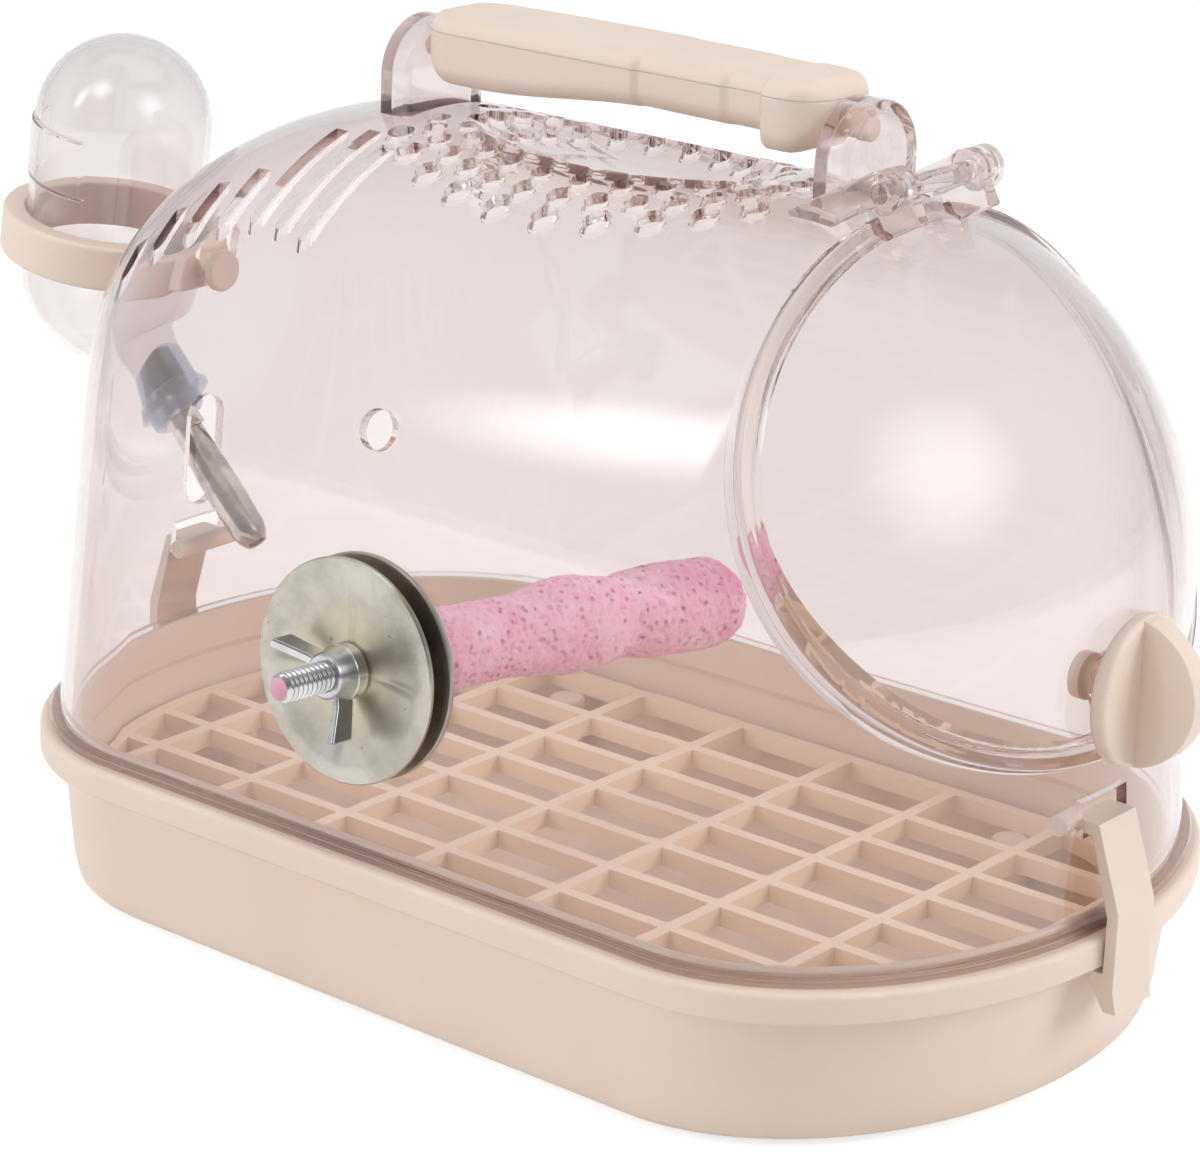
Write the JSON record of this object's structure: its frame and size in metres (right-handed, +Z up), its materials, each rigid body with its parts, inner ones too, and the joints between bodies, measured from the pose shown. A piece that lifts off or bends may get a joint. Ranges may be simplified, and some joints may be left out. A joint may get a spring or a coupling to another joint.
{
  "type": "small bird travel carrier",
  "caption": "Small bird travel carrier: oval cream tray with floor grid, clear vaulted cabin with slanted round door, top handle, drinking bottle and sand perch.",
  "frame": {"origin": "centre of the tray's flat underside", "axes": "+X along the length towards the door end, the bottle at -X; +Z up; -Y towards the perch's side"},
  "size_m": [0.3049, 0.1683, 0.1832],
  "materials": {
    "cream_plastic": "satin moulded plastic",
    "clear_plastic": "clear polished plastic",
    "silicone": "translucent bluish silicone",
    "stainless": "bright drawn tube",
    "zinc_plated": "zinc plated, slightly mottled",
    "perch_sand": "rough pitted pink sand"
  },
  "bodies": {
    "carrier": {"tray": "cream_plastic", "cabin": "clear_plastic", "hinge_rod": "clear_plastic", "perch_stick": "perch_sand", "perch_stud": "zinc_plated", "outer_washer": "zinc_plated", "inner_washer": "zinc_plated"},
    "grid": {"floor_grid": "cream_plastic"},
    "door": {"door_lid": "clear_plastic"},
    "latch": {"latch_knob": "cream_plastic", "latch_tongue": "cream_plastic"},
    "clip_door": {"door_end_clip": "cream_plastic"},
    "clip_bottle": {"bottle_end_clip": "cream_plastic"},
    "handle": {"handle_top": "cream_plastic", "handle_bottom": "cream_plastic"},
    "bottle_unit": {"bottle": "clear_plastic", "bottle_bracket": "cream_plastic", "bottle_stopper": "silicone", "spout_sleeve": "stainless", "spout_tube": "stainless"},
    "ball": {"spout_ball": "stainless"},
    "nut": {"wing_nut": "zinc_plated"}
  },
  "joints": [
    {"name": "grid_lift", "type": "slide", "parent": "carrier", "child": "grid", "axis": [0, 0, 1], "range_m": [0, 0.012]},
    {"name": "door_hinge", "type": "hinge", "parent": "carrier", "child": "door", "pos_m": [0.0717, 0, 0.16718], "axis": [0, -1, 0], "range_deg": [0, 110]},
    {"name": "latch_turn", "type": "hinge", "parent": "door", "child": "latch", "pos_m": [0.12161, 0, 0.08109], "axis": [-1, 0, 0], "range_deg": [0, 90]},
    {"name": "door_clip_swing", "type": "hinge", "parent": "carrier", "child": "clip_door", "pos_m": [0.11352, 0, 0.0544], "axis": [0, -1, 0], "range_deg": [0, 35]},
    {"name": "bottle_clip_swing", "type": "hinge", "parent": "carrier", "child": "clip_bottle", "pos_m": [-0.11352, 0, 0.0544], "axis": [0, 1, 0], "range_deg": [0, 35]},
    {"name": "handle_swing", "type": "hinge", "parent": "carrier", "child": "handle", "pos_m": [0, 0, 0.1743], "axis": [1, 0, 0], "range_deg": [-30, 30]},
    {"name": "bottle_lift", "type": "slide", "parent": "carrier", "child": "bottle_unit", "axis": [0, 0, 1], "range_m": [0, 0.005]},
    {"name": "ball_push", "type": "slide", "parent": "bottle_unit", "child": "ball", "axis": [-0.7193, 0, 0.6947], "range_m": [0, 0.001]},
    {"name": "nut_turn", "type": "hinge", "parent": "carrier", "child": "nut", "pos_m": [-0.0055, -0.07095, 0.0705], "axis": [0, -0.9976, 0.0698], "continuous": true}
  ]
}
